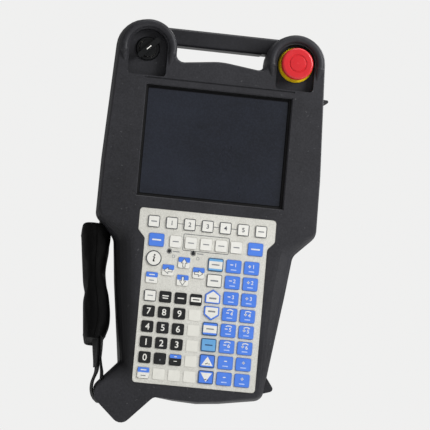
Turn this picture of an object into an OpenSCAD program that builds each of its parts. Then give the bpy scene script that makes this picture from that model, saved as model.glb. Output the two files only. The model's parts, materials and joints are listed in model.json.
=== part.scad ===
// Teach pendant: hand-held control unit of an industrial robot.
//
// Every module is drawn in face coordinates: x to the right, y up, z out of the front face,
// with the centre of the display at x = y = 0 and the front face at z = 0. on_face() stands
// the pendant up, so the model has +Z up and its front towards -Y, and puts the origin in
// the middle of the underside of the carrying bar, where the pendant hangs on its hook.
// A "depth" below is a distance behind the front face.

/* [Housing] */
// Full width of the upper half at its widest
body_w = 202; // [198:1:206]
// Full width of the grip just below the shoulders
grip_w = 155.2; // [152:0.4:158]
// Height of the foot of the housing below the display centre
foot_y = 224; // [222:1:226]
// Thickness of the moulded walls
wall = 3; // [2.6:0.1:3.2]
// Depth of the parting line between front and rear housing
parting = 8; // [7:0.5:9]
// Thickness of the gasket between the two housings
gasket_t = 1.2; // [1:0.1:1.6]
// Depth at which the housing is widest
waist_depth = 14; // [12:1:16]
// Depth where the sides begin to round into the back
side_depth = 30; // [28:1:32]
// Depth of the flat back
back_depth = 46; // [46:0.5:48]
// Depth of the spine between the enabling levers
spine_depth = 60; // [58:1:62]

/* [Lobes] */
// Distance of each lobe's centre from the middle line
lobe_x = 68; // [67:0.5:69]
// Height of the lobes' centres above the display centre
lobe_y = 83; // [82:0.5:84]
// Radius of a lobe at its widest
lobe_r = 27; // [26:0.5:28]
// Half width of the recess in a lobe
recess_r = 17.5; // [17:0.5:18]
// Depth of the recess floor
recess_depth = 8; // [7:0.5:9]
// Height of the lower edge of the recesses
recess_bottom = 58; // [57:0.5:59]
// Radius of the rolled guard rim's own section
rim_t = 3.6; // [3:0.2:4]

/* [Carrying bar] */
// Height of the bar's underside above the display centre
bar_y = 91.5; // [90:0.5:93]
// Height of the bar's section
bar_h = 16; // [12:0.5:16.5]
// Depth of the bar's front face
bar_front = 26; // [25:1:28]
// Depth of the bar's back face
bar_back = 44; // [42:1:45]

/* [Display] */
// Width of the display window
window_w = 134; // [130:1:136]
// Height of the display window
window_h = 101.5; // [98:0.5:102]
// Thickness of the touch glass
glass_t = 1.8; // [1.5:0.1:2]

/* [Keypad] */
// Pitch of the keys in the number block
number_pitch = 13.95; // [13.8:0.05:14]
// Pitch of the jog and motion keys down the column
jog_pitch = 14.55; // [14.4:0.05:14.6]
// Width of a small key
key_w = 10.5; // [10:0.1:10.8]
// Width of a jog, motion or shift key
wide_key_w = 13.5; // [13:0.1:13.8]
// Height of a jog, motion or shift key
wide_key_h = 11.5; // [11:0.1:11.8]
// Gap between a key and the overlay round it
key_gap = 0.3; // [0.25:0.05:0.4]
// Height of the keys above the overlay
key_rise = 0.9; // [0.6:0.1:1.2]
// Travel of a key
key_travel = 0.7; // [0.5:0.1:0.8]

/* [Emergency stop and selector] */
// Diameter of the mushroom head
stop_d = 29; // [28:0.5:30]
// Diameter of the yellow collar
collar_d = 32; // [31:0.5:33]
// Diameter of the selector's bezel
bezel_d = 22; // [21:0.5:24]
// Length of the selector's bar lever
lever_bar = 25; // [23:0.5:26]

/* [Enabling levers] */
// Length of an enabling lever
enable_l = 90; // [86:1:92]
// Width of an enabling lever
enable_w = 18; // [17:0.5:18.5]

/* [Hand strap] */
// Width of the webbing
strap_w = 20; // [18:1:21]
// Thickness of the webbing
strap_t = 1.6; // [1.4:0.1:1.8]

/* [Hidden] */
$fn = 48;

// The housing is described by its outline at four depths: the flat face, the waist, the end
// of the sides and the flat back. Between them the outline is blended along quarter ellipses.
// A corner is [x, y, radius, segments, hub]; the hubs are the points the ends close round.
side_x = [for (less = [2.4, 0, 3, 9]) body_w / 2 - less];
grip_x = [for (less = [17.1, 0, 0.6, 12.6]) grip_w / 2 - less];
lobe_radii = [for (less = [2.5, 0, 1.5, 6]) lobe_r - less];
hump_y = [76, 78.5, 77, 72.5];
shoulder_y = [-69, -73, -71, -64];
hip = [[66, -87], [82, -92], [81, -91], [68, -84]];
hubs = [[0, -20], [lobe_x, lobe_y - 21], [-lobe_x, lobe_y - 21], [-45, -205]];

// Foot of the housing, from the right corner round the strap wing to the grip
foot_corners = [
    [[59.2, 2, 5, 4], [5, -9, 150, 2], [-35, -7, 8, 3], [-63, -36.4, 9, 5], [-94.8, -7.9, 8, 5], [-60, 13, 5, 3]],
    [[64.5, -1, 9, 4], [5, -11, 150, 2], [-36, -6.5, 8, 3], [-61, -33, 8, 5], [-92.5, -4.5, 9, 5], [-67.5, 23, 5, 3]],
    [[64, 1, 10, 4], [5, -10, 150, 2], [-38, -4, 8, 3], [-60, -26, 8, 5], [-89, -2, 9, 5], [-67, 21, 5, 3]],
    [[55, 10, 12, 4], [5, 0, 150, 2], [-36, 3, 30, 3], [-52, 7, 6, 5], [-57.5, 15, 6, 5], [-58.5, 24, 10, 3]]
];

// The same corners without the strap wing, as the cavity has them
plain_foot = [
    [[59.2, 2, 5, 4], [5, -7.5, 150, 2], [-36, -5.5, 30, 2], [-59.6, 6, 9, 3]],
    [[64.5, -1, 9, 4], [5, -11, 150, 2], [-38, -8.5, 30, 2], [-65.5, 6, 9, 3]],
    [[64, 1, 10, 4], [5, -10, 150, 2], [-38, -7.5, 30, 2], [-65, 8, 9, 3]],
    [[55, 10, 12, 4], [5, 0, 150, 2], [-36, 4, 30, 2], [-57, 13, 9, 3]]
];

// Places of the screws in the right half
screw_sites = [[34, 64.5], [86, 12], [88, -42], [66, -108], [30, -221.5]];
boss_r = 4;
post_r = 5;
post_front = 14.2;
screw_seat = 24;

// Display window: height of its middle, and the bevel round it
window_y = -0.5;
window_bevel = 0.9;

// Keypad: depths of the overlay and the board
overlay_top = 0.4;
overlay_t = 1.2;
board_top = 5.8;
board_t = 1.6;
dome_h = 0.4;
key_bottom = 4.6;
flange_w = 0.7;
flange_t = 0.8;
overlay_corners = [[62.5, -62, 3, 3], [62.5, -82, 3, 2], [56, -89, 3, 2], [56, -219.5, 3, 3]];

// Key places
top_row_y = -73.5;
menu_row_y = -90;
jog_y = -107.4;
number_x = -46.6;
number_y = -140.6;
motion_x = 10.3;
jog_x = [26.9, 43.3];
soft_places = [for (i = [-3:3]) [16.35 * i, top_row_y]];
menu_places = [for (i = [-2:2]) [13.9 * i, menu_row_y]];
shift_places = [[-45.3, menu_row_y], [45.3, menu_row_y]];
cursor_places = [[-18.5, -108.3], [-32.4, -116.3], [-4.6, -116.3], [-18.5, -124.3]];
help_places = [[number_x, -124.3], [number_x, number_y - 5 * number_pitch]];
info_place = [-46.3, -106.8];
info_r = 6.9;
lamp_places = [[-32.7, -99], [-10.9, -99]];
lamp_r = 1.7;
number_places = concat(
    [for (column = [0:3]) number_place(column, 0)],
    [for (row = [1:4]) for (column = [0:2]) number_place(column, row)]
);
blank_places = concat(
    [for (row = [1:4]) number_place(3, row)],
    [for (column = [1:3]) number_place(column, 5)]
);
small_places = concat(soft_places, menu_places, cursor_places, help_places, number_places);
wide_places = concat(
    shift_places,
    [for (row = [0, 1, 4, 5, 6, 7]) [motion_x, jog_row_y(row)]],
    [for (side = [0:1]) for (row = [0:7]) [jog_x[side], jog_row_y(row)]]
);
arrow_rows = [2, 3];
small_key = [key_w, 9.8];
square_key = [key_w, key_w];
wide_key = [wide_key_w, wide_key_h];

// Half the length of the carrying bar's gripped stretch
bar_grip = 39.5;

// Emergency stop and selector, in depths below the face
stop_place = [lobe_x + 0.6, lobe_y - 0.6];
selector_place = [-lobe_x, lobe_y];
sleeve_r = 11;
selector_sleeve_r = 8;
hole_gap = 0.15;
ring_gap = 0.06;
stem_r = 4.5;
stem_bore_r = 4.56;
shaft_r = 3;
shaft_bore_r = 3.05;
stop_under = 1;
stop_height = 6.5;

// Enabling levers and their pockets
pocket_x = [37.6, 37.6 + enable_w + 0.8];
pocket_y = [-192, -94];
pocket_floor = 34;
lever_pivot = [-104, -42];
pin_r = 1.5;
pin_bore_r = 1.56;

// Cable inlet at the back of the foot
inlet_x = -50;
inlet_depth = 44;
inlet_r = 6;
inlet_top = -204;
inlet_seat = -229;
inlet_end = -238;
inlet_nut_r = 9.6;
inlet_thread_r = 7.8;

// USB port in the right side wall
usb_y = 41.5;
usb_depth = 23.5;
usb_face = 96;
flap_t = 1.6;
flap_l = 27;
flap_w = 13;

// Hand strap
strap_top_x = -93.4;
strap_top_depth = 30;
strap_foot_depth = 13.5;
slot_x = -82.2;
slot_t = 3;
sleeve_top = -79;
sleeve_bottom = -189;
sleeve_w = 50;
sleeve_depth = 33;

// ---- Outlines ----

function unit(v) = v / norm(v);

// Limits of a stretch given by its middle and half its length
function span(middle, half) = [middle - half, middle + half];

function number_place(column, row) = [number_x + column * number_pitch, number_y - row * number_pitch];

function jog_row_y(row) = jog_y - row * jog_pitch;

// Arc that rounds one corner; a corner is [x, y, radius, segments]
function corner_arc(before, corner, after) =
    let (
        here = [corner[0], corner[1]],
        u = unit([before[0], before[1]] - here),
        v = unit([after[0], after[1]] - here),
        half = acos(u * v) / 2,
        centre = here + unit(u + v) * corner[2] / sin(half),
        from = here + u * corner[2] / tan(half) - centre,
        to = here + v * corner[2] / tan(half) - centre,
        start = atan2(from[1], from[0]),
        sweep = atan2(to[1], to[0]) - start,
        turn = sweep > 180 ? sweep - 360 : sweep < -180 ? sweep + 360 : sweep
    )
    [for (i = [0:corner[3]])
        let (a = start + turn * i / corner[3])
        centre + corner[2] * [cos(a), sin(a)]];

function rounded(corners) =
    let (n = len(corners))
    [for (i = [0:n - 1])
        each corner_arc(corners[(i + n - 1) % n], corners[i], corners[(i + 1) % n])];

// The same corners on the other side of the middle line, in reverse order
function mirrored(corners) =
    [for (i = [len(corners) - 1:-1:0])
        let (c = corners[i])
        [-c[0], c[1], c[2], c[3], c[4] == 1 ? 2 : c[4]]];

function mix(a, b, f) = [for (i = [0:len(a) - 1]) a[i] * (1 - f) + b[i] * f];

// Moves every point of a clockwise outline inwards
function inset(points, distance) =
    let (n = len(points))
    [for (i = [0:n - 1])
        let (along = unit(points[(i + 1) % n] - points[(i + n - 1) % n]))
        points[i] + distance * [along[1], -along[0]]];

// Share of the way from one level to the next at a depth: level number plus blend
function blend_at(depth) =
    depth <= waist_depth ? sqrt(1 - pow(1 - depth / waist_depth, 2))
    : depth <= side_depth ? 1 + (depth - waist_depth) / (side_depth - waist_depth)
    : 3 - sqrt(max(0, 1 - pow((depth - side_depth) / (back_depth - side_depth), 2)));

function between_levels(levels, blend) =
    let (low = min(floor(blend), len(levels) - 2))
    mix(levels[low], levels[low + 1], blend - low);

// Right half of the outline at one level, from the top middle down to the grip
function right_corners(level) =
    let (r = lobe_radii[level], top = hump_y[level])
    [
        [0, top, 60, 3, 0],
        [lobe_x - r, top - 5, 7, 4, 1],
        [lobe_x - r, lobe_y + r, r, 8, 1],
        [lobe_x + r, lobe_y + r, 0.97 * r, 8, 1],
        [side_x[level] - 0.5, -20, 200, 2, 0],
        [side_x[level], shoulder_y[level], 10, 4, 0],
        [hip[level][0], hip[level][1], 12, 5, 0],
        [grip_x[level], -130, 200, 2, 0]
    ];

function corners_at(level, foot) =
    let (right = right_corners(level), rest = [for (i = [1:7]) right[i]])
    concat(right, [for (c = foot[level]) [c[0], c[1] - foot_y, c[2], c[3], 3]], mirrored(rest));

outlines = [for (level = [0:3]) rounded(corners_at(level, foot_corners))];
plain_outlines = [for (level = [0:3]) rounded(corners_at(level, plain_foot))];
outline_hubs = [for (c = corners_at(0, foot_corners)) for (i = [0:c[3]]) c[4]];
plain_hubs = [for (c = corners_at(0, plain_foot)) for (i = [0:c[3]]) c[4]];

function outline_at(depth) = between_levels(outlines, blend_at(depth));

function plain_at(depth) = between_levels(plain_outlines, blend_at(depth));

// Depths of the rings that make the front and the rear housing
front_depths = [for (i = [0:5]) parting * pow(i / 5, 2)];
rear_start = parting + gasket_t;
rounding_depths = [for (a = [22.5:22.5:90]) side_depth + (back_depth - side_depth) * sin(a)];
rear_depths = concat([rear_start, waist_depth, side_depth], rounding_depths);
rear_cavity_depths = [rear_start - 0.1, waist_depth, side_depth, 38, back_depth - wall];

function rectangle(w, h, r, steps) =
    rounded([[-w / 2, h / 2, r, steps], [w / 2, h / 2, r, steps], [w / 2, -h / 2, r, steps], [-w / 2, -h / 2, r, steps]]);

// House-shaped key outline; direction is 1 when its point is up and -1 when it is down
function arrow_outline(w, h, direction) =
    rounded([
        [-w / 2, -direction * h / 2, 0.8, 1],
        [-w / 2, direction * h * 0.16, 0.8, 1],
        [0, direction * h * 0.58, 0.8, 1],
        [w / 2, direction * h * 0.16, 0.8, 1],
        [w / 2, -direction * h / 2, 0.8, 1]
    ]);

// Recess outline with a round top and a straight foot, seen from the lobe's centre
function tombstone(half) =
    rounded([
        [-half, half, half * 0.97, 9],
        [half, half, half * 0.97, 9],
        [half, recess_bottom - lobe_y - half + recess_r, 3, 3],
        [-half, recess_bottom - lobe_y - half + recess_r, 3, 3]
    ]);

// ---- Building blocks ----

// Stands the face coordinates up, with the origin under the carrying bar
module on_face() {
    translate([0, -(bar_front + bar_back) / 2, -bar_y]) rotate([90, 0, 0]) children();
}

// A plate between two depths
module slab(from, to) {
    translate([0, 0, -to]) linear_extrude(to - from) children();
}

// A block given by its limits: x, y and depth
module block(x, y, depth) {
    translate([x[0], y[0], -depth[1]]) cube([x[1] - x[0], y[1] - y[0], depth[1] - depth[0]]);
}

// A round post along the depth
module post(place, r, from, to) {
    translate([place[0], place[1], -to]) cylinder(r = r, h = to - from);
}

// Solid through a stack of outlines with equal point counts. Each end is closed by triangles
// round the hub of every point, which also holds where the outline is hollow.
module loft(rings, depths, hub_of, centres) {
    n = len(hub_of);
    last = len(depths) - 1;
    front_hub = (last + 1) * n;
    back_hub = front_hub + len(centres);
    points = concat(
        [for (k = [0:last]) for (p = rings[k]) [p[0], p[1], -depths[k]]],
        [for (k = [0, last]) for (c = centres) [c[0], c[1], -depths[k]]]
    );
    sides = [for (k = [0:last - 1]) for (i = [0:n - 1])
        let (a = k * n + i, b = k * n + (i + 1) % n)
        each [[a, a + n, b + n], [a, b + n, b]]];
    fans = [for (i = [0:n - 1])
        let (before = hub_of[(i + n - 1) % n])
        each concat(
            [[i, (i + 1) % n, front_hub + hub_of[i]]],
            before == hub_of[i] ? [] : [[front_hub + before, i, front_hub + hub_of[i]]]
        )];
    ends = concat(
        fans,
        [for (f = fans) [for (i = [2:-1:0]) f[i] < n ? f[i] + last * n : f[i] + back_hub - front_hub]]
    );
    polyhedron(points, concat(sides, ends), convexity = 8);
}

module both_sides() {
    children();
    mirror([1, 0, 0]) children();
}

// Rolled rim that guards the control in a lobe; its ends run out into the face
module guard_rim() {
    rim_r = lobe_r - 4.6;
    translate([lobe_x, lobe_y, 0]) {
        rotate([0, 0, -8]) rotate_extrude(angle = 196, $fn = 72) translate([rim_r, 0]) circle(rim_t);
        for (end = [[-8, -98], [188, 278]])
            translate([rim_r * cos(end[0]), rim_r * sin(end[0]), 0]) {
                sphere(rim_t + 0.25);
                rotate([0, 0, end[1]]) rotate([0, 98, 0]) cylinder(r1 = rim_t, r2 = 1.2, h = 14);
            }
    }
}

module at_screws() {
    for (site = screw_sites)
        for (side = [-1, 1])
            translate([side * site[0], site[1], 0]) children();
}

// ---- Housing ----

module front_outside() {
    loft([for (d = front_depths) outline_at(d)], front_depths, outline_hubs, hubs);
}

module front_cavity() {
    rings = [inset(plain_at(wall), 1.7 * wall), inset(plain_at(parting + 0.1), wall)];
    loft(rings, [wall, parting + 0.1], plain_hubs, hubs);
}

module recess_cup() {
    translate([lobe_x, lobe_y, 0]) slab(1, recess_depth + 2.5) polygon(tombstone(recess_r + 2.2));
}

module recess_space() {
    translate([lobe_x, lobe_y, 0]) slab(-8, recess_depth) polygon(tombstone(recess_r));
}

module front_bosses() {
    at_screws() post([0, 0], boss_r, wall - 0.1, post_front - 0.2);
    for (x = [-76, 76]) for (y = [-50, 50])
        post([x, y], 3, wall - 0.1, 7.9);
    for (x = [-55.6, 55.6]) for (y = [-112, -160, -208])
        post([x, y], 1.8, wall - 0.1, board_top);
}

module overlay_outline(gap) {
    polygon(inset(rounded(concat(overlay_corners, mirrored(overlay_corners))), -gap));
}

// Window in the face, with its edges bevelled
module window_space() {
    translate([0, window_y, 0]) {
        slab(-1, wall + 1) square([window_w, window_h], center = true);
        translate([0, 0, -window_bevel])
            linear_extrude(2 * window_bevel, scale = [1 + 4 * window_bevel / window_w, 1 + 4 * window_bevel / window_h])
                square([window_w, window_h], center = true);
    }
}

module front_housing() {
    color("#2b2c2e") on_face() difference() {
        union() {
            difference() {
                front_outside();
                front_cavity();
            }
            both_sides() {
                recess_cup();
                guard_rim();
            }
            front_bosses();
        }
        both_sides() recess_space();
        post(stop_place, sleeve_r + hole_gap, 0, 12);
        post(selector_place, selector_sleeve_r + hole_gap, 0, 12);
        window_space();
        block([-69, 69], [55.6, 57], [-1, 1]);
        slab(-1, overlay_top + overlay_t) overlay_outline(0.3);
        slab(0, wall + 1) overlay_outline(-2.2);
        strap_slot();
        at_screws() post([0, 0], 1.55, 5, post_front);
    }
}

module housing_gasket() {
    color("#151515") on_face() slab(parting, rear_start) difference() {
        polygon(inset(outline_at(parting), 0.7));
        polygon(inset(plain_at(parting), 2.4));
        translate([slot_x - slot_t / 2, -262]) square([slot_t, 72]);
    }
}

module spine_loft(depths, half_w, top, bottom) {
    rings = [for (d = depths)
        let (lean = 7 * (1 - sqrt(1 - pow((d - depths[0]) / (spine_depth - depths[0] + 0.01), 2))))
        [for (p = rectangle(2 * (half_w - lean), top - bottom - 2 * lean, 9, 4)) p + [0, (top + bottom) / 2]]];
    loft(rings, depths, [for (i = [1:20]) 0], [[0, (top + bottom) / 2]]);
}

module rear_outside() {
    loft([for (d = rear_depths) outline_at(d)], rear_depths, outline_hubs, hubs);
    spine_loft([back_depth - 2, 50, 54, 57, 59, spine_depth], 33, 12, -208);
    slab(13, 30) polygon(rounded([[45, -205, 1, 1], [58, -190.7, 1, 1], [75.8, -215.2, 3, 4], [50, -223.6, 1, 1]]));
}

module rear_cavity() {
    loft([for (d = rear_cavity_depths) inset(plain_at(d), wall)], rear_cavity_depths, plain_hubs, hubs);
    block([-24, 24], [-199, 3], [back_depth - wall - 1, spine_depth - wall]);
}

// Walls round the pocket of an enabling lever, in the right half
module lever_pocket_walls() {
    block(pocket_x + [-2, 2], pocket_y + [-2, 2], [pocket_floor - 2, back_depth - 1]);
}

module lever_pocket() {
    block(pocket_x, pocket_y, [pocket_floor, back_depth + 20]);
    translate([pocket_x[0] - 2, lever_pivot[0], lever_pivot[1]])
        rotate([0, 90, 0]) cylinder(r = pin_r, h = pocket_x[1] - pocket_x[0] + 4);
}

module inlet_boss() {
    translate([inlet_x, inlet_seat, -inlet_depth])
        rotate([-90, 0, 0]) cylinder(r = 10.5, h = inlet_top - inlet_seat);
}

module usb_recess() {
    block([usb_face, 110], span(usb_y, flap_l / 2 + 0.5), span(usb_depth, 7));
    block([80, 100], span(usb_y, 7), span(usb_depth, 4));
}

module usb_block() {
    block([usb_face - 2.5, usb_face + 1], span(usb_y, 16), span(usb_depth, 9));
}

// Way of the webbing through the strap wing and through the left shoulder
module strap_slot() {
    block(span(slot_x, slot_t / 2), [-262, -190], span(strap_foot_depth, strap_w / 2 + 0.3));
}

module shoulder_slot() {
    depth = span(strap_top_depth, strap_w / 2 + 0.3);
    block([strap_top_x - 1.6, strap_top_x + 1.6], [-95, -50], depth);
    block([strap_top_x - 3.6, strap_top_x + 1.6], [-95, -76], depth);
    block([strap_top_x - 1.6, strap_top_x + 5], [-58, -50], depth);
}

module rear_housing() {
    color("#2b2c2e") on_face() difference() {
        union() {
            difference() {
                rear_outside();
                rear_cavity();
            }
            both_sides() lever_pocket_walls();
            at_screws() post([0, 0], post_r, post_front, back_depth - wall + 0.5);
            for (x = [-72, 72]) for (y = [-44, 44])
                post([x, y], 3, 19.6, back_depth - wall + 0.5);
            inlet_boss();
            usb_block();
        }
        both_sides() lever_pocket();
        at_screws() {
            post([0, 0], 3.3, screw_seat, back_depth + 5);
            post([0, 0], 1.7, post_front - 1, screw_seat + 1);
        }
        translate([inlet_x, inlet_seat - 1, -inlet_depth])
            rotate([-90, 0, 0]) cylinder(r = inlet_thread_r, h = inlet_top - inlet_seat - 2);
        translate([inlet_x, inlet_seat - 40, -inlet_depth])
            rotate([-90, 0, 0]) cylinder(r = inlet_nut_r + 1, h = 40);
        usb_recess();
        strap_slot();
        shoulder_slot();
        bar_solid();
    }
}

module housing_screws() {
    color("silver") on_face() at_screws() {
        difference() {
            post([0, 0], 2.75, screw_seat, screw_seat + 2.4);
            post([0, 0], 1.4, screw_seat + 1, screw_seat + 3, $fn = 6);
        }
        post([0, 0], 1.5, 8.5, screw_seat);
    }
}

// The bar between the lobes, with its ends inside them; the gripped stretch stands a little lower
module bar_solid() {
    outline = [for (p = rectangle(bar_back - bar_front, bar_h, 2.6, 4)) p + [0, bar_y + bar_h / 2]];
    difference() {
        translate([-60, 0, -(bar_front + bar_back) / 2])
            rotate([0, 90, 0]) linear_extrude(120) polygon(outline);
        both_sides() block([bar_grip, 61], [bar_y - 1, bar_y + 0.8], [bar_front - 1, bar_back + 1]);
    }
}

module carry_handle() {
    color("#262729") on_face() bar_solid();
}

// ---- Display and boards ----

module display_gasket() {
    color("#0c0c0d") on_face() slab(wall, wall + 1.2) difference() {
        square([142, 108.5], center = true);
        square([window_w - 4, window_h - 3], center = true);
    }
}

module display_window() {
    color("#1d232b") on_face() block([-71, 71], [-54.25, 54.25], [wall + 1.2, wall + 1.2 + glass_t]);
}

module display_module() {
    front = wall + 1.2 + glass_t + 0.3;
    color("#30343a") on_face() {
        block([-71.5, 71.5], [-54.3, 54.3], [front, 14]);
        for (x = [-76, 76]) for (y = [-50, 50])
            difference() {
                block(span(x, 5), span(y, 3), [8, 10]);
                post([x, y], 1.2, 7, 11);
            }
    }
}

module main_board() {
    color("#1f5b37") on_face() {
        difference() {
            block([-79, 79], [-58, 50], [18, 19.6]);
            for (x = [-72, 72]) for (y = [-44, 44])
                post([x, y], 1.2, 17, 21);
        }
        block([-34, -10], [-14, 10], [19.6, 22]);
        block([6, 36], [-4, 14], [19.6, 21.4]);
        block([-60, -44], [-40, -8], [19.6, 26]);
        block([44, 62], [-46, -38], [19.6, 27]);
        for (x = [8:9:35])
            post([x, -26], 3.4, 19.6, 28);
    }
}

module keypad_board() {
    color("#1f5b37") on_face() {
        difference() {
            union() {
                block([-57.4, 57.4], [-216.5, -91], [board_top, board_top + board_t]);
                block([-60, 60], [-91, -64.5], [board_top, board_top + board_t]);
            }
            for (x = [-55.6, 55.6]) for (y = [-112, -160, -208])
                post([x, y], 0.9, board_top - 1, board_top + board_t + 1);
        }
        for (place = concat(small_places, wide_places, [info_place]))
            post(place, 2.6, board_top - dome_h, board_top, $fn = 24);
        for (row = arrow_rows)
            post([motion_x, jog_row_y(row)], 2.6, board_top - dome_h, board_top, $fn = 24);
    }
}

// ---- Keypad ----

module moved(place) {
    translate([place[0], place[1], 0]) children();
}

// Cap of a key with its retaining flange under the overlay
module key(place, size) {
    moved(place) {
        slab(overlay_top - key_rise, key_bottom) polygon(rectangle(size[0], size[1], 1.2, 2));
        flange(size);
    }
}

module flange(size) {
    top = overlay_top + overlay_t + 0.05;
    block(span(0, size[0] / 2 + flange_w), span(0, size[1] / 2 + flange_w), [top, top + flange_t]);
}

module arrow_key(row, direction) {
    moved([motion_x, jog_row_y(row)]) {
        slab(overlay_top - key_rise, key_bottom) polygon(arrow_outline(wide_key_w, wide_key_h, direction));
        flange([wide_key_w, 8]);
    }
}

module key_openings() {
    for (place = concat(soft_places, menu_places))
        translate(place) polygon(rectangle(key_w + 2 * key_gap, key_w + 2 * key_gap, 1.4, 2));
    for (place = concat(cursor_places, help_places, number_places))
        translate(place) polygon(rectangle(small_key[0] + 2 * key_gap, small_key[1] + 2 * key_gap, 1.4, 2));
    for (place = wide_places)
        translate(place) polygon(rectangle(wide_key_w + 2 * key_gap, wide_key_h + 2 * key_gap, 1.4, 2));
    for (i = [0, 1])
        translate([motion_x, jog_row_y(arrow_rows[i])])
            polygon(arrow_outline(wide_key_w + 2 * key_gap, wide_key_h + 2 * key_gap, 1 - 2 * i));
    translate(info_place) circle(info_r + key_gap);
    for (place = lamp_places)
        translate(place) circle(lamp_r + 0.05);
}

module keypad_overlay() {
    color("#d9d7cf") on_face() {
        slab(overlay_top, overlay_top + overlay_t) difference() {
            overlay_outline(0);
            key_openings();
        }
        for (place = blank_places)
            moved(place) slab(overlay_top - 0.3, overlay_top) polygon(rectangle(key_w, small_key[1], 1, 1));
    }
}

module indicator_lenses() {
    color("#101214") on_face()
        for (place = lamp_places)
            post(place, lamp_r, overlay_top - 0.3, board_top, $fn = 32);
}

module soft_keys() {
    color("#ecebe6") on_face() for (place = soft_places) key(place, square_key);
}

module menu_keys() {
    color("#e6e5df") on_face() for (place = menu_places) key(place, square_key);
}

module cursor_keys() {
    color("#e6e5df") on_face() for (place = cursor_places) key(place, small_key);
}

module number_keys() {
    color("#1b1c20") on_face() for (place = number_places) key(place, small_key);
}

module help_keys() {
    color("#e6e5df") on_face() {
        for (place = help_places) key(place, small_key);
        post(info_place, info_r, overlay_top - key_rise, key_bottom);
    }
}

module shift_key(side) {
    color("#3f72d8") on_face() key(shift_places[side], wide_key);
}

module motion_key(row, tint) {
    color(tint) on_face() key([motion_x, jog_row_y(row)], wide_key);
}

module jog_key(side, row) {
    color("#3f72d8") on_face() key([jog_x[side], jog_row_y(row)], wide_key);
}

// ---- Emergency stop ----

module estop_head() {
    r = stop_d / 2;
    color("#c81e22") on_face() moved(stop_place) rotate_extrude($fn = 72) polygon(concat(
        [[stem_bore_r, -stop_under], [r - 1.5, -stop_under], [r, -stop_under + 1.2]],
        [for (a = [0:15:90]) [r - 2.2 + 2.2 * cos(a), stop_height - 3 + 2.2 * sin(a)]],
        [[8.6, stop_height - 0.8], [8.2, stop_height - 1.3], [7.2, stop_height - 1.3], [6.8, stop_height - 0.7]],
        [[0, stop_height - 0.4], [0, stop_height - 3.4], [stem_bore_r, stop_height - 3.4]]
    ));
}

module estop_stem() {
    color("#b8b8b8") on_face() post(stop_place, stem_r, 3.5 - stop_height, 24);
}

module estop_collar() {
    color("#e8c81a") on_face() moved(stop_place) rotate_extrude($fn = 72) polygon([
        [sleeve_r + ring_gap, -recess_depth],
        [collar_d / 2, -recess_depth],
        [collar_d / 2, -recess_depth + 1.7],
        [collar_d / 2 - 0.8, -recess_depth + 2.5],
        [sleeve_r + ring_gap, -recess_depth + 2.5]
    ]);
}

module control_body(place, r, top, bore_r, bore_end, half, base) {
    difference() {
        union() {
            post(place, r, top, 20);
            block(span(place[0], half), span(place[1] - 1, half), [19, base]);
        }
        post(place, bore_r, top - 1, bore_end);
    }
}

module estop_body() {
    color("#d8d4c8") on_face() control_body(stop_place, sleeve_r, recess_depth - 2.5, stem_bore_r, 29, 9, 41);
}

module panel_nuts() {
    seat = recess_depth + 2.5;
    color("#3a3b3d") on_face()
        for (nut = [[stop_place, sleeve_r], [selector_place, selector_sleeve_r]])
            difference() {
                post(nut[0], nut[1] + 3.5, seat, seat + 5, $fn = 8);
                post(nut[0], nut[1] + ring_gap, seat - 1, seat + 6);
            }
}

// ---- Selector ----

module selector_bezel() {
    color("#1a1b1c") on_face() moved(selector_place) rotate_extrude($fn = 72) polygon([
        [selector_sleeve_r + ring_gap, -recess_depth],
        [bezel_d / 2, -recess_depth],
        [bezel_d / 2, -recess_depth + 1],
        [bezel_d / 2 - 1, -recess_depth + 2.2],
        [selector_sleeve_r + ring_gap, -recess_depth + 2.2]
    ]);
}

module selector_knob() {
    disc_r = selector_sleeve_r - 0.4;
    color("#121314") on_face() moved(selector_place) rotate([0, 0, 45]) {
        slab(recess_depth - 4.2, recess_depth - 0.4) circle(disc_r, $fn = 72);
        slab(-2, recess_depth - 3.8) polygon(rectangle(lever_bar, 4.8, 2.3, 5));
        post([0, 0], shaft_r, recess_depth - 1, 22);
    }
}

module selector_body() {
    color("#8a8a86") on_face() control_body(selector_place, selector_sleeve_r, recess_depth, shaft_bore_r, 24, 9, 38);
}

// ---- Enabling levers ----

// Drawn in the right half: the side view is extruded over the lever's width
module enable_lever() {
    x = pocket_x[0] + 0.4;
    top = lever_pivot[0] + 6;
    bottom = top - enable_l;
    side = rounded([
        [top, -44, 2, 3], [top, -50.5, 3.5, 4], [(top + bottom) / 2, -58.5, 90, 4],
        [bottom, -54, 5, 4], [bottom, -44, 2.5, 3]
    ]);
    difference() {
        union() {
            translate([x, 0, 0]) rotate([90, 0, 90]) linear_extrude(enable_w) polygon(side);
            translate([x, lever_pivot[0], lever_pivot[1]]) rotate([0, 90, 0]) cylinder(r = 4, h = enable_w);
        }
        translate([x - 1, lever_pivot[0], lever_pivot[1]])
            rotate([0, 90, 0]) cylinder(r = pin_bore_r, h = enable_w + 2);
    }
}

module enable_lever_right() {
    color("#3a3b3e") on_face() enable_lever();
}

module enable_lever_left() {
    color("#3a3b3e") on_face() mirror([1, 0, 0]) enable_lever();
}

module enable_pins() {
    color("silver") on_face() both_sides()
        translate([pocket_x[0] - 2, lever_pivot[0], lever_pivot[1]])
            rotate([0, 90, 0]) cylinder(r = pin_r, h = pocket_x[1] - pocket_x[0] + 4);
}

module enable_switches() {
    middle = (pocket_x[0] + pocket_x[1]) / 2;
    color("#202124") on_face() both_sides() {
        block(span(middle, 5), [-177, -161], [pocket_floor, pocket_floor + 3]);
        post([middle, -169], 1.5, pocket_floor + 3, pocket_floor + 3.5);
    }
}

// ---- USB port, cable inlet ----

module usb_socket() {
    color("silver") on_face() difference() {
        block([usb_face - 14, usb_face - 1.9], span(usb_y, 6.9), span(usb_depth, 3.9));
        block([usb_face - 12, usb_face], span(usb_y, 6.2), span(usb_depth, 2.6));
    }
}

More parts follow.
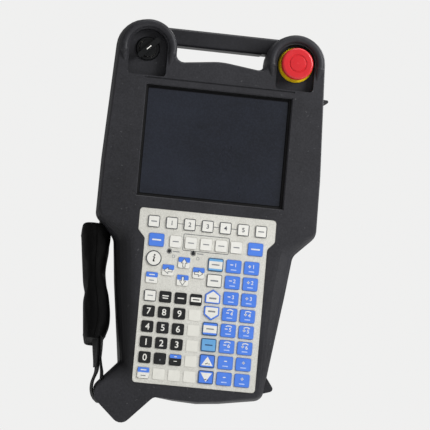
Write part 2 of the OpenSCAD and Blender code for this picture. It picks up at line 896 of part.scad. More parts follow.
module usb_cover() {
    x = usb_face + 0.15;
    low = usb_y - flap_l / 2;
    high = usb_y + flap_l / 2;
    color("#1c1d1f") on_face() slab(usb_depth - flap_w / 2, usb_depth + flap_w / 2) union() {
        polygon([[x, low + 0.8], [x, high], [x + flap_t, high], [x + flap_t, low + 0.8]]);
        translate([x + flap_t / 2, low + 0.8]) circle(flap_t / 2);
        polygon([[x + 1, high - 6.5], [x + 1, high], [x + 6.4, high - 0.3], [x + 7.4, high - 1.6], [x + 6.6, high - 3]]);
    }
    color("#1c1d1f") on_face()
        block([usb_face - 1.6, x], span(usb_y, 5.6), span(usb_depth, 3.4));
}

module cable_inlet() {
    color("#232426") on_face() translate([inlet_x, inlet_end, -inlet_depth]) rotate([-90, 0, 0]) difference() {
        union() {
            cylinder(r = inlet_nut_r - 1.2, h = 2);
            translate([0, 0, 2]) cylinder(r = inlet_nut_r, h = inlet_seat - inlet_end - 2, $fn = 6);
            translate([0, 0, 1]) cylinder(r = inlet_thread_r, h = 24);
        }
        translate([0, 0, -1]) cylinder(r = inlet_r, h = 30);
    }
}

// ---- Hand strap ----

// A band of even thickness along a hand-drawn line
module band(line, thickness) {
    n = len(line);
    normals = [for (i = [0:n - 1])
        let (along = unit(line[min(i + 1, n - 1)] - line[max(i - 1, 0)]))
        [-along[1], along[0]]];
    polygon(concat(
        [for (i = [0:n - 1]) line[i] + normals[i] * thickness / 2],
        [for (i = [n - 1:-1:0]) line[i] - normals[i] * thickness / 2]
    ));
}

strap_loop = [
    [-90.4, sleeve_bottom], [-90.4, -192], [-89.4, -205], [-88.4, -215.5], [-89.5, -219.5], [-90.5, -223.4],
    [-91, -227.2], [-90.7, -231], [-89.3, -234.3], [-87.3, -236.7], [-85.2, -238.6], [-83.4, -239.9],
    [-82.4, -239.3], [-82.2, -237], [-82.2, -213], [-83.6, -208.5], [-84.8, -203], [-85.6, -192], [-85.6, sleeve_bottom]
];

strap_rise = [[-96.2, -83], [-96.2, -81.2], [-95.4, -79.8], [-94.2, -78.2]];

// The belt ends at the sleeve's skin at the top and at its mouth at the bottom
module strap_belt() {
    color("#111112") on_face() {
        slab(strap_foot_depth - strap_w / 2, strap_foot_depth + strap_w / 2) band(strap_loop, strap_t);
        difference() {
            slab(strap_top_depth - strap_w / 2, strap_top_depth + strap_w / 2) {
                band(concat(strap_rise, [[strap_top_x, -76], [strap_top_x, -55]]), strap_t);
                translate([strap_top_x - 1, -57]) square([5, 4]);
            }
            sleeve_solid();
        }
    }
}

module sleeve_solid() {
    outline = rounded([
        [-110.1, sleeve_top, 2, 2], [-97.6, sleeve_top, 1, 1], [-85.2, -95, 4, 2], [-88.4, -122, 30, 3],
        [-78.9, -150, 30, 3], [-78.6, -177, 8, 3], [-83.2, sleeve_bottom, 3, 2], [-98, sleeve_bottom, 3, 2]
    ]);
    translate([-90, 0, -sleeve_depth]) rotate([0, -4, 0]) translate([90, 0, sleeve_depth])
        slab(sleeve_depth - sleeve_w / 2, sleeve_depth + sleeve_w / 2) polygon(outline);
}

module strap_sleeve() {
    color("#101011") on_face() sleeve_solid();
}

front_housing();
rear_housing();
housing_gasket();
housing_screws();
carry_handle();
display_window();
display_gasket();
display_module();
main_board();
keypad_overlay();
keypad_board();
indicator_lenses();
soft_keys();
menu_keys();
cursor_keys();
number_keys();
help_keys();
shift_key(0);  // shift_key_left
shift_key(1);  // shift_key_right
motion_key(0, "#7aa6e8");  // step_key
motion_key(1, "#e6e5df");  // hold_key
color("#3f72d8") on_face() arrow_key(arrow_rows[0], 1);  // forward_key
color("#3f72d8") on_face() arrow_key(arrow_rows[1], -1);  // backward_key
motion_key(4, "#7aa6e8");  // coord_key
motion_key(5, "#6fb0e0");  // group_key
motion_key(6, "#3f72d8");  // speed_up_key
motion_key(7, "#6fb0e0");  // speed_down_key
for (row = [1:8]) {
    jog_key(0, row - 1);
    jog_key(1, row - 1);
}
estop_head();
estop_stem();
estop_collar();
estop_body();
panel_nuts();
selector_knob();
selector_bezel();
selector_body();
enable_lever_left();
enable_lever_right();
enable_pins();
enable_switches();
usb_cover();
usb_socket();
cable_inlet();
strap_belt();
strap_sleeve();
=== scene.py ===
import json
import math
from collections import namedtuple

import bmesh
import bpy
from mathutils import Matrix, Vector


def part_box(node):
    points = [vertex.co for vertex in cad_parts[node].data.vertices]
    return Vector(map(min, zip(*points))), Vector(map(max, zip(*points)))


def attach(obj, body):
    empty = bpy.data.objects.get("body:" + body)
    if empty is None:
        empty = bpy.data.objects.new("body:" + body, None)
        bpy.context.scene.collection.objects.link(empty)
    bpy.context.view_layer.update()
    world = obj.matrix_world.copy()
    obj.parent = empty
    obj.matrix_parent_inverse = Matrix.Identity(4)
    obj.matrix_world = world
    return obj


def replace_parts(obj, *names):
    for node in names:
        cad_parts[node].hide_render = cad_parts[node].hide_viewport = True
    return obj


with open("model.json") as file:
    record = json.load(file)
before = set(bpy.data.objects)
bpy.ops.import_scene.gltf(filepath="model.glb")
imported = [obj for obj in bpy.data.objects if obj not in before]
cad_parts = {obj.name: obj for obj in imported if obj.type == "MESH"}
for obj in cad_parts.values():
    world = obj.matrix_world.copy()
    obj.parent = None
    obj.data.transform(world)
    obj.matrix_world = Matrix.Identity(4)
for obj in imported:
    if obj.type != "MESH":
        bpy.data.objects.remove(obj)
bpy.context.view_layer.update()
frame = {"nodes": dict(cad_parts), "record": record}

MM = 0.001
scene = bpy.context.scene

# ---- Places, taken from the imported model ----

# How far the display window's front lies behind the housing's front face
GLASS_DEPTH = 4.2
# Mesh corners closer than this, in metres, are one corner
WELD = 1e-6

window_low, window_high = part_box("display_window")
CENTRE_Z = (window_low[2] + window_high[2]) / 2
FACE_Y = window_low[1] - GLASS_DEPTH * MM

# Middle, depth of the front, width and height of a flat thing on the face, in mm
Spot = namedtuple("Spot", "x y depth width height", defaults=(0.0, 0.0))


def face(x, y, depth=0.0):
    """A point in the part's own face coordinates, in mm, as a world point in metres."""
    return Vector((x * MM, FACE_Y + depth * MM, CENTRE_Z + y * MM))


def spot_of(low, high):
    """The spot that a box in metres takes up on the face."""
    middle_z = (low[2] + high[2]) / 2
    return Spot(
        (low[0] + high[0]) / 2 / MM, (middle_z - CENTRE_Z) / MM, (low[1] - FACE_Y) / MM,
        (high[0] - low[0]) / MM, (high[2] - low[2]) / MM,
    )


def islands(node):
    """Spots of a node's separate solids, row by row from the top and from left to right."""
    mesh = frame["nodes"][node].data
    parent = list(range(len(mesh.vertices)))

    def root(i):
        while parent[i] != i:
            parent[i] = parent[parent[i]]
            i = parent[i]
        return i

    first_at = {}
    for v in mesh.vertices:
        corner = tuple(round(c / WELD) for c in v.co)
        parent[root(v.index)] = root(first_at.setdefault(corner, v.index))
    for e in mesh.edges:
        parent[root(e.vertices[0])] = root(e.vertices[1])
    boxes = {}
    for v in mesh.vertices:
        low, high = boxes.setdefault(root(v.index), (v.co.copy(), v.co.copy()))
        for k in range(3):
            low[k] = min(low[k], v.co[k])
            high[k] = max(high[k], v.co[k])
    return sorted((spot_of(*box) for box in boxes.values()), key=lambda s: (-round(s.y), s.x))


def only(node):
    """Spot of a node that is one solid."""
    return islands(node)[0]


# ---- Materials ----

def tone(code):
    """A colour written as #rrggbb, in linear values."""
    out = []
    for i in (1, 3, 5):
        c = int(code[i:i + 2], 16) / 255
        out.append(c / 12.92 if c <= 0.04045 else ((c + 0.055) / 1.055) ** 2.4)
    return (*out, 1.0)


def grey(v):
    return (v, v, v, 1.0)


class Surface:
    """A principled material with a few short ways to add nodes."""

    def __init__(self, name, **values):
        self.material = bpy.data.materials.new(name)
        self.material.use_nodes = True
        self.nodes = self.material.node_tree.nodes
        self.links = self.material.node_tree.links
        self.shader = self.nodes["Principled BSDF"]
        for key, value in values.items():
            self.shader.inputs[key.replace("_", " ")].default_value = value
        self.place = self.nodes.new("ShaderNodeTexCoord").outputs["Object"]

    def node(self, kind, **settings):
        made = self.nodes.new("ShaderNode" + kind)
        for key, value in settings.items():
            setattr(made, key, value)
        return made

    def link(self, source, target):
        self.links.new(source, target)

    def stretched(self, scale):
        """The place in the object, scaled along each axis."""
        mapping = self.node("Mapping")
        mapping.inputs["Scale"].default_value = scale
        self.link(self.place, mapping.inputs["Vector"])
        return mapping.outputs["Vector"]

    def split(self, source):
        """The X, Y and Z outputs of a vector."""
        made = self.node("SeparateXYZ")
        self.link(source, made.inputs["Vector"])
        return made.outputs

    def noise(self, scale, detail=2.0, roughness=0.5, stretch=None):
        made = self.node("TexNoise")
        made.inputs["Scale"].default_value = scale
        made.inputs["Detail"].default_value = detail
        made.inputs["Roughness"].default_value = roughness
        self.link(self.stretched(stretch) if stretch else self.place, made.inputs["Vector"])
        return made.outputs["Fac"]

    def ramp(self, source, first, last):
        """Two colours along a source, each written as (position, colour)."""
        made = self.node("ValToRGB")
        for element, (at, colour) in zip(made.color_ramp.elements, (first, last)):
            element.position = at
            element.color = colour
        self.link(source, made.inputs["Fac"])
        return made.outputs["Color"]

    def mask(self, source, start, end, most=1.0):
        """Black up to start, and grey up to most from end on."""
        return self.ramp(source, (start, grey(0)), (end, grey(most)))

    def mix(self, factor, a, b):
        made = self.node("Mix", data_type="RGBA")
        for socket, value in ((made.inputs[0], factor), (made.inputs[6], a), (made.inputs[7], b)):
            if isinstance(value, tuple):
                socket.default_value = value
            else:
                self.link(value, socket)
        return made.outputs[2]

    def math(self, kind, a, b=None):
        made = self.node("Math", operation=kind)
        for socket, value in zip(made.inputs, (a, b)):
            if isinstance(value, (int, float)):
                socket.default_value = value
            elif value is not None:
                self.link(value, socket)
        return made.outputs[0]

    def spread(self, source, low, high):
        """The source's 0 to 1 as low to high."""
        made = self.node("MapRange")
        made.inputs["To Min"].default_value = low
        made.inputs["To Max"].default_value = high
        self.link(source, made.inputs["Value"])
        return made.outputs["Result"]

    def fade(self, source, start, end):
        """0 to 1 as the source goes from start to end, smoothly."""
        made = self.node("MapRange", interpolation_type="SMOOTHSTEP")
        made.inputs["From Min"].default_value = start
        made.inputs["From Max"].default_value = end
        self.link(source, made.inputs["Value"])
        return made.outputs["Result"]

    def bump(self, source, strength, distance):
        """Bumps on top of the ones that are there."""
        made = self.node("Bump")
        made.inputs["Strength"].default_value = strength
        made.inputs["Distance"].default_value = distance
        self.link(source, made.inputs["Height"])
        previous = self.shader.inputs["Normal"].links
        if previous:
            self.link(previous[0].from_socket, made.inputs["Normal"])
        self.link(made.outputs["Normal"], self.shader.inputs["Normal"])

    def colour(self, source):
        self.link(source, self.shader.inputs["Base Color"])

    def roughness(self, source):
        self.link(source, self.shader.inputs["Roughness"])


# The left grip is painted darker: painted shade that stands in for its outer side rolling away from the
# light, since the grip's front is flat. Its outer edge lies
# GRIP_EDGE left of the middle at the height of the display's centre, and runs in by GRIP_LEAN of the way
# down. Each pair says where the painted shade starts to change and where it has changed, in metres: in
# from that edge, or up from the centre.
GRIP_EDGE = 0.0954
GRIP_LEAN = 0.127
GRIP_INNER_FADE = (0.027, 0.006)
GRIP_TOP_FADE = (-0.072, -0.098)
GRIP_FOOT_FADE = (-0.225, -0.204)
GRIP_SHADE_TONE = "#050506"


def left_grip_shade(s):
    """Mask of the painted shade on the left grip of the housing."""
    x, _, z = s.split(s.place)
    height = s.math("SUBTRACT", z, CENTRE_Z)
    inward = s.math("ADD", s.math("ADD", x, GRIP_EDGE), s.math("MULTIPLY", height, GRIP_LEAN))
    side = s.math("MULTIPLY", s.fade(inward, *GRIP_INNER_FADE), s.fade(height, *GRIP_TOP_FADE))
    return s.math("MULTIPLY", side, s.fade(height, *GRIP_FOOT_FADE))


def moulded(name, base, light, rough, grain, scuffs, shine=0.3, grip_shade=0.0):
    """Satin moulded plastic: cloudy tone, spark-eroded grain, dust specks and pale scuffs."""
    s = Surface(name, Specular_IOR_Level=shine)
    cloud = s.mask(s.noise(14, 4, 0.6), 0.35, 0.65, 0.6)
    mottle = s.mask(s.noise(620, 3, 0.7), 0.35, 0.65, 0.55)
    body = s.mix(s.math("ADD", cloud, mottle), tone(base), tone(light))
    scratch = s.mask(s.noise(60, 5, 0.7, stretch=(1.0, 1.0, 4.0)), 0.66, 0.78)
    patches = s.mask(s.noise(9, 2), 0.5, 0.7, scuffs)
    dust = s.mask(s.noise(330, 2, 0.6), 0.70, 0.76, scuffs)
    marked = s.mix(s.math("MULTIPLY", scratch, patches), body, tone("#6b6c6e"))
    finished = s.mix(dust, marked, tone("#808183"))
    # painted shade over the left grip, where its outer side turns away from the light
    if grip_shade:
        finished = s.mix(s.math("MULTIPLY", left_grip_shade(s), grip_shade), finished, tone(GRIP_SHADE_TONE))
    s.colour(finished)
    s.roughness(s.spread(s.noise(35, 3), *rough))
    s.bump(s.noise(2600, 1), grain, 0.08 * MM)
    return s


def rubber_surface(name, base, worn, shine):
    """Dull rubber with a cloudy tone and a fine grain."""
    s = Surface(name, Specular_IOR_Level=shine)
    s.colour(s.mix(s.mask(s.noise(40, 4), 0.3, 0.7), tone(base), tone(worn)))
    s.roughness(s.spread(s.noise(80, 3), 0.6, 0.8))
    s.bump(s.noise(1500, 2), 0.3, 0.1 * MM)
    return s


def metal_surface(name, base, rough):
    """Brushed steel with fine level streaks."""
    s = Surface(name, Metallic=1.0)
    brushed = (1.0, 1.0, 12.0)
    s.colour(s.mix(s.noise(200, 3), tone(base), tone("#8d8d8a")))
    s.roughness(s.spread(s.noise(300, 3, 0.6, brushed), *rough))
    s.bump(s.noise(900, 2, 0.5, brushed), 0.15, 0.03 * MM)
    return s


def glass_surface():
    """Touch panel over a dark display: glossy film with faint smears and wiping marks."""
    s = Surface("display_glass", Specular_IOR_Level=0.35, Coat_Weight=0.12, Coat_Roughness=0.12)
    smears = s.noise(7, 4, 0.6, stretch=(1.0, 1.0, 1.8))
    veil = s.ramp(smears, (0.3, tone("#15171e")), (0.7, tone("#20242f")))
    grit = s.mask(s.noise(700, 2, 0.6), 0.4, 0.75, 0.3)
    s.colour(s.mix(grit, veil, tone("#323744")))
    s.roughness(s.spread(s.noise(18, 5, 0.65, stretch=(1.0, 1.0, 0.5)), 0.2, 0.4))
    s.bump(s.noise(900, 1), 0.05, 0.02 * MM)
    return s


def board_surface():
    """Green circuit board with paler tracks."""
    s = Surface("circuit_board", Coat_Weight=0.3)
    tracks = s.node("TexVoronoi", feature="DISTANCE_TO_EDGE")
    tracks.inputs["Scale"].default_value = 160
    s.link(s.place, tracks.inputs["Vector"])
    line = s.ramp(tracks.outputs["Distance"], (0.03, grey(1)), (0.06, grey(0)))
    s.colour(s.mix(line, tone("#14532f"), tone("#2c7a4a")))
    s.roughness(s.spread(s.noise(300, 2), 0.35, 0.5))
    return s


def film_surface():
    """Membrane overlay: pale warm grey with a fine speckle, a little soiled."""
    s = Surface("overlay_film")
    speckle = s.ramp(s.noise(1400, 2, 0.6), (0.35, tone("#c8c7bf")), (0.6, tone("#dddcd5")))
    soil = s.mask(s.noise(22, 5, 0.65), 0.45, 0.75, 0.35)
    s.colour(s.mix(soil, speckle, tone("#b8b6ab")))
    s.roughness(s.spread(s.noise(60, 3), 0.42, 0.6))
    s.bump(s.noise(1800, 2), 0.25, 0.05 * MM)
    return s


def key_surface(name, base, worn, shine=0.5):
    """Ink or key plastic with worn patches, an uneven shine and a fine grain."""
    s = Surface(name, Specular_IOR_Level=shine)
    wear = s.mask(s.noise(70, 4, 0.6), 0.45, 0.75, 0.6)
    s.colour(s.mix(wear, tone(base), tone(worn)))
    s.roughness(s.spread(s.noise(90, 3), 0.34, 0.52))
    s.bump(s.noise(2200, 2), 0.2, 0.04 * MM)
    return s


def gloss_surface(name, base, worn, rough):
    """Coloured gloss plastic with worn patches."""
    s = Surface(name, Coat_Weight=0.25, Coat_Roughness=0.2)
    wear = s.mask(s.noise(45, 5, 0.6), 0.5, 0.8, 0.5)
    s.colour(s.mix(wear, tone(base), tone(worn)))
    s.roughness(s.spread(s.noise(120, 3), *rough))
    s.bump(s.noise(700, 2), 0.08, 0.04 * MM)
    return s


def woven(s, threads, strength):
    """Bumps of a plain weave in object space; threads is in radians per metre."""
    x, y, z = s.split(s.stretched((threads, threads, threads)))
    across = s.math("SINE", s.math("ADD", y, x))
    down = s.math("SINE", z)
    weave = s.math("MULTIPLY", across, down)
    s.bump(weave, strength, 0.25 * MM)
    return weave


def webbing_surface():
    s = Surface("webbing", Specular_IOR_Level=0.12)
    shade = s.spread(woven(s, 5200, 0.6), 0.0, 1.0)
    s.colour(s.mix(shade, tone("#030304"), tone("#0b0b0c")))
    s.roughness(s.spread(s.noise(200, 3), 0.42, 0.6))
    return s


def fabric_surface():
    """The sleeve's cloth: a dusty weave over soft creases."""
    s = Surface("sleeve_fabric", Specular_IOR_Level=0.09)
    weave = woven(s, 4200, 0.45)
    dust = s.ramp(s.noise(30, 5, 0.65), (0.45, tone("#030303")), (0.8, tone("#070708")))
    s.colour(s.mix(s.math("MULTIPLY", weave, 0.2), dust, tone("#0c0c0d")))
    s.roughness(s.spread(s.noise(90, 4), 0.55, 0.75))
    s.bump(s.noise(55, 4, 0.6), 0.25, 0.8 * MM)
    return s


def lens_surface():
    s = Surface("lamp_lens", Coat_Weight=0.6)
    s.colour(s.mix(s.noise(400, 2), tone("#17181b"), tone("#26282c")))
    s.roughness(s.spread(s.noise(200, 2), 0.15, 0.25))
    return s


# the housing's left grip carries painted shade
housing = moulded(
    "housing_plastic", "#232326", "#343438", rough=(0.38, 0.56), grain=0.35, scuffs=0.3, shine=0.22,
    grip_shade=0.75,
)
handle = moulded("handle_plastic", "#1c1c1f", "#2a2a2e", rough=(0.34, 0.5), grain=0.25, scuffs=0.25)
module = moulded("module_plastic", "#25272b", "#303236", rough=(0.45, 0.6), grain=0.2, scuffs=0.1)
black = moulded("control_plastic", "#08090a", "#141517", rough=(0.26, 0.42), grain=0.15, scuffs=0.2)
lever = moulded("lever_plastic", "#2a2b2e", "#38393c", rough=(0.38, 0.52), grain=0.3, scuffs=0.15)
block = moulded("contact_block_plastic", "#c9c5b8", "#d6d3c8", rough=(0.4, 0.55), grain=0.15, scuffs=0.1)
rubber = rubber_surface("seal_rubber", "#0a0a0b", "#151516", shine=0.2)
cover_rubber = rubber_surface("cover_rubber", "#1b1b1d", "#2a2a2c", shine=0.5)
steel = metal_surface("screw_steel", "#b9b8b3", rough=(0.28, 0.42))
glass = glass_surface()
board = board_surface()
film = film_surface()
white_ink = key_surface("key_white", "#e9e8e2", "#dcdbd4")
key_black = key_surface("key_black", "#0b0c0e", "#15161a")
key_blue = key_surface("key_blue", "#4a7ee2", "#5a8ae8")
key_sky = key_surface("key_light_blue", "#63a3d8", "#78b1de")
key_pale = key_surface("print_pale_blue", "#b9cdf6", "#a9c0f0")
ink_dark = key_surface("print_dark", "#353b44", "#4a5058")
ink_navy = key_surface("print_navy", "#24466f", "#345680")
ink_grey = key_surface("print_grey", "#7d8084", "#8f9296")
ink_black = key_surface("print_black", "#060608", "#0e0e11", shine=0.12)
field = key_surface("print_field", "#e4e3db", "#d8d7ce")
stop_red = gloss_surface("stop_red", "#cf1d26", "#d9353a", rough=(0.24, 0.38))
stop_yellow = gloss_surface("stop_yellow", "#e9c400", "#dcb80f", rough=(0.28, 0.42))
webbing = webbing_surface()
fabric = fabric_surface()
lens = lens_surface()

FINISH = {
    "housing_plastic": housing, "seal_rubber": rubber, "screw_steel": steel, "display_glass": glass,
    "module_plastic": module, "circuit_board": board, "overlay_film": film, "lamp_lens": lens,
    "white_keys": white_ink, "black_keys": key_black, "blue_keys": key_blue, "light_blue_keys": key_sky,
    "stop_red": stop_red, "stop_yellow": stop_yellow, "contact_block": block, "control_black": black,
    "lever_plastic": lever, "webbing": webbing, "sleeve_fabric": fabric,
}
OWN_FINISH = {"carry_handle": handle, "usb_cover": cover_rubber}
for part in frame["record"]["subparts"]:
    surface = OWN_FINISH.get(part["node"], FINISH[part["material_slot"]])
    for slot in frame["nodes"][part["node"]].material_slots:
        slot.material = surface.material

# ---- Softened edges on the CAD nodes ----

# Width of the rounding in mm, for the nodes that differ from the keys and from the rest
EDGE = {
    "front_housing": 0.35, "rear_housing": 0.35, "carry_handle": 0.3, "keypad_overlay": 0.12,
    "enable_lever_left": 0.5, "enable_lever_right": 0.5, "usb_cover": 0.25, "selector_knob": 0.35,
}
KEY_EDGE = 0.25
OTHER_EDGE = 0.12
# Edges flatter than this, in degrees, belong to a curved face and stay as they are
SHARP = 34

for name, shown in frame["nodes"].items():
    usual = KEY_EDGE if "key" in name or "jog" in name else OTHER_EDGE
    bevel = shown.modifiers.new("edge", "BEVEL")
    bevel.width = EDGE.get(name, usual) * MM
    bevel.segments = 2
    bevel.limit_method = "ANGLE"
    bevel.angle_limit = math.radians(SHARP)
    bevel.harden_normals = False

# ---- Outlines of printed marks, in mm from the mark's own middle ----

CORNER_STEPS = 3


def rectangle(w, h, r=0.0, y=0.0):
    """A rectangle with corners of radius r, moved up by y."""
    if r <= 0:
        return [(-w / 2, y - h / 2), (w / 2, y - h / 2), (w / 2, y + h / 2), (-w / 2, y + h / 2)]
    out = []
    for right, top, start in ((1, -1, -90), (1, 1, 0), (-1, 1, 90), (-1, -1, 180)):
        for i in range(CORNER_STEPS + 1):
            a = math.radians(start + 90 * i / CORNER_STEPS)
            out.append((right * (w / 2 - r) + r * math.cos(a), y + top * (h / 2 - r) + r * math.sin(a)))
    return out


def dash(length, thick=1.0, y=0.0):
    """A short bar in the place of a word."""
    return rectangle(length, thick, 0.3, y)


def disc(r, x=0.0, y=0.0, steps=32):
    turns = [2 * math.pi * i / steps for i in range(steps)]
    return [(x + r * math.cos(a), y + r * math.sin(a)) for a in turns]


def ring(outer, inner):
    """Quads between two outlines with the same number of points."""
    n = len(outer)
    return [[outer[i], outer[(i + 1) % n], inner[(i + 1) % n], inner[i]] for i in range(n)]


def frame_of(w, h, line, r=1.2):
    """A drawn frame with rounded corners, its line inside w by h."""
    return ring(rectangle(w, h, r), rectangle(w - 2 * line, h - 2 * line, max(r - line, 0.2)))


def stroke(a, b, width):
    """A straight line from a to b."""
    along = (Vector(b) - Vector(a)).normalized() * width / 2
    nx, ny = -along[1], along[0]
    return [(a[0] - nx, a[1] - ny), (b[0] - nx, b[1] - ny), (b[0] + nx, b[1] + ny), (a[0] + nx, a[1] + ny)]


def arc(r, start, end, width, x=0.0, y=0.0, steps=10):
    """Quads along an arc between two angles in degrees."""
    angles = [math.radians(start + (end - start) * i / steps) for i in range(steps + 1)]

    def point(radius, a):
        return x + radius * math.cos(a), y + radius * math.sin(a)

    inner, outer = r - width / 2, r + width / 2
    return [[point(inner, a), point(outer, a), point(outer, b), point(inner, b)]
            for a, b in zip(angles, angles[1:])]


def moved(shape, x, y):
    return [(px + x, py + y) for px, py in shape]


def turned(shape, degrees):
    c, s = math.cos(math.radians(degrees)), math.sin(math.radians(degrees))
    return [(px * c - py * s, px * s + py * c) for px, py in shape]


# How much the built-in font's outline grows, as a share of the size
DIGIT_BOLDER = 0.012


def digit_shapes(text, size):
    """Outlines of a digit as polygons, from the built-in font."""
    curve = bpy.data.curves.new("digit", "FONT")
    curve.body = text
    curve.size = size
    curve.align_x = "CENTER"
    curve.align_y = "CENTER"
    curve.offset = DIGIT_BOLDER * size
    made = bpy.data.objects.new("digit", curve)
    scene.collection.objects.link(made)
    bpy.context.view_layer.update()
    mesh = bpy.data.meshes.new_from_object(made.evaluated_get(bpy.context.evaluated_depsgraph_get()))
    points = [v.co for v in mesh.vertices]
    cx = (min(p.x for p in points) + max(p.x for p in points)) / 2
    cy = (min(p.y for p in points) + max(p.y for p in points)) / 2
    out = [[(points[i].x - cx, points[i].y - cy) for i in p.vertices] for p in mesh.polygons]
    bpy.data.objects.remove(made)
    bpy.data.curves.remove(curve)
    bpy.data.meshes.remove(mesh)
    return out


# ---- Building pieces ----

def new_piece(name, bm, surface, body, smooth=False):
    """The mesh as an object that rides on a CAD body."""
    bmesh.ops.recalc_face_normals(bm, faces=bm.faces)
    mesh = bpy.data.meshes.new(name)
    bm.to_mesh(mesh)
    bm.free()
    if smooth:
        mesh.shade_smooth()
    made = bpy.data.objects.new(name, mesh)
    scene.collection.objects.link(made)
    mesh.materials.append(surface.material)
    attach(made, body)
    return made


def add_prism(bm, outline, front_depth, back_depth):
    """A closed prism between two depths, on an outline in face coordinates."""
    doubled_area = sum(a[0] * b[1] - b[0] * a[1] for a, b in zip(outline, outline[1:] + outline[:1]))
    points = outline if doubled_area > 0 else outline[::-1]
    front = [bm.verts.new(face(x, y, front_depth)) for x, y in points]
    back = [bm.verts.new(face(x, y, back_depth)) for x, y in points]
    bm.faces.new(front)
    bm.faces.new(back[::-1])
    n = len(points)
    for i in range(n):
        j = (i + 1) % n
        bm.faces.new([front[j], front[i], back[i], back[j]])


def add_skin(bm, rings):
    """Quads over rings with the same number of points each; returns the rings of new corners."""
    rings = [[bm.verts.new(p) for p in points] for points in rings]
    n = len(rings[0])
    for a, b in zip(rings, rings[1:]):
        for k in range(n):
            bm.faces.new([a[k], a[(k + 1) % n], b[(k + 1) % n], b[k]])
    return rings


def add_tube(bm, rings):
    """A skin over rings of points, closed at both ends."""
    rings = add_skin(bm, rings)
    bm.faces.new(rings[0][::-1])
    bm.faces.new(rings[-1])


# How far an ink stands proud in mm, and how deep it is sunk; each further layer is half an ink prouder
INK = 0.05


class Print:
    """Collects flat marks of one ink on one body and builds them as one thin mesh."""

    made = {}

    def __init__(self, body, surface, layer):
        self.body, self.surface, self.layer = body, surface, layer
        self.shapes = []

    def build(self):
        bm = bmesh.new()
        proud = INK * (1 + 0.5 * self.layer)
        for outline, depth in self.shapes:
            add_prism(bm, outline, depth - proud, depth + INK)
        name = "print_%s_%s_%d" % (self.body, self.surface.material.name, self.layer)
        new_piece(name, bm, self.surface, self.body)


def mark(body, surface, shapes, spot, layer=0):
    """Prints outlines on a body, with their own middle at the spot."""
    key = (body, surface.material.name, layer)
    if key not in Print.made:
        Print.made[key] = Print(body, surface, layer)
    for shape in shapes:
        Print.made[key].shapes.append((moved(shape, spot.x, spot.y), spot.depth))


# ---- Printed marks: thin inlays on the keys and the overlay ----

# A key's box is this much wider and higher than the cap that shows
FLANGE = 1.4
# How far a blank field stands proud of the overlay's foil
FIELD_RAISED = 0.3
# A pointed key's tip stands this share of the key's height from its middle
KEY_TIP = 0.58
SOFT_DIGIT = 5.6
NUMBER_DIGIT = 8.2
JOG_DIGIT = 4.8


def cap(key):
    """Width and height of a key's visible cap."""
    return key.width - FLANGE, key.height - FLANGE


def soft_key_marks(keys):
    """White caps with a dark outline: a dash on the outer two, numbers on the five between."""
    for key in keys:
        mark("soft_keys", ink_dark, frame_of(*cap(key), 0.55), key)
    for key in (keys[0], keys[-1]):
        mark("soft_keys", ink_grey, [dash(5.4)], key)
    for number, key in enumerate(keys[1:-1], 1):
        mark("soft_keys", ink_dark, digit_shapes(str(number), SOFT_DIGIT), key)


def menu_key_marks(keys):
    """White caps with a dash."""
    for key in keys:
        mark("menu_keys", ink_grey, [dash(5.6, 0.9)], key)


ARROW = [(-3.4, -0.8), (0.3, -0.8), (0.3, -2.3), (3.6, 0.0), (0.3, 2.3), (0.3, 0.8), (-3.4, 0.8)]
ARROW_EDGE = [(-3.9, -1.3), (-0.2, -1.3), (-0.2, -3.2), (4.5, 0.0), (-0.2, 3.2), (-0.2, 1.3), (-3.9, 1.3)]


def cursor_key_marks():
    """Blue upper part, white arrow with a dark edge: up, left, right and down."""
    for key, degrees in zip(islands("cursor_keys"), (90, 180, 0, -90)):
        w, h = cap(key)
        mark("cursor_keys", key_blue, [rectangle(w - 0.1, h * 0.46, 0.9, y=h * 0.26)], key)
        middle = key._replace(y=key.y - 0.4)
        mark("cursor_keys", ink_dark, [turned(ARROW_EDGE, degrees)], middle, 1)
        mark("cursor_keys", white_ink, [turned(ARROW, degrees)], middle, 2)


def number_key_marks(keys):
    """A row of four editing keys, ten digits, the point and a half blue key."""
    body = "number_keys"
    outlined, double, single, banded = keys[:4]
    w, h = cap(outlined)
    mark(body, white_ink, [rectangle(w - 0.05, h - 0.05, 1.0)], outlined)
    mark(body, ink_dark, frame_of(w, h, 0.45), outlined, 1)
    mark(body, ink_grey, [dash(5.0, 0.9)], outlined, 1)
    mark(body, white_ink, [dash(5.8, y=0.9), dash(5.0, y=-1.2)], double)
    mark(body, white_ink, [dash(5.8)], single)
    w, h = cap(banded)
    mark(body, white_ink, [rectangle(w - 1.2, h * 0.42, 0.4)], banded)
    mark(body, ink_black, [dash(6.2, 0.9)], banded, 1)
    for key, digit in zip(keys[4:14], "7894561230"):
        mark(body, white_ink, digit_shapes(digit, NUMBER_DIGIT), key)
    point, half_blue = keys[14:]
    mark(body, ink_grey, [disc(0.7, 0, -1.2)], point)
    w, h = cap(half_blue)
    mark(body, key_blue, [rectangle(w - 0.1, h * 0.34, 0.8, y=h * 0.32)], half_blue)
    mark(body, white_ink, [rectangle(2.4, 0.7, 0.2, y=h * 0.3)], half_blue, 1)
    mark(body, white_ink, [rectangle(3.0, 0.6, 0.2, y=-h * 0.12)], half_blue)


def help_key_marks(info, upper, lower):
    """The round information key with its i, and two keys with a blue upper half."""
    body = "help_keys"
    mark(body, ink_dark, ring(disc(6.9), disc(6.2)), info)
    mark(body, ink_black, [disc(0.8, 0.5, 2.9, 16), stroke((0.6, 1.2), (-0.5, -2.8), 1.1)], info)
    serifs = [stroke((-1.0, 1.0), (0.6, 1.3), 0.7), stroke((-0.6, -3.0), (1.0, -2.4), 0.7)]
    mark(body, ink_black, serifs, info)
    for key in (upper, lower):
        w, h = cap(key)
        mark(body, key_blue, [rectangle(w - 0.1, h * 0.46, 0.8, y=h * 0.26)], key)
        mark(body, white_ink, [dash(5.2, 0.9, y=h * 0.26)], key, 1)
        mark(body, ink_grey, [dash(4.6, 0.8, y=-h * 0.26)], key)


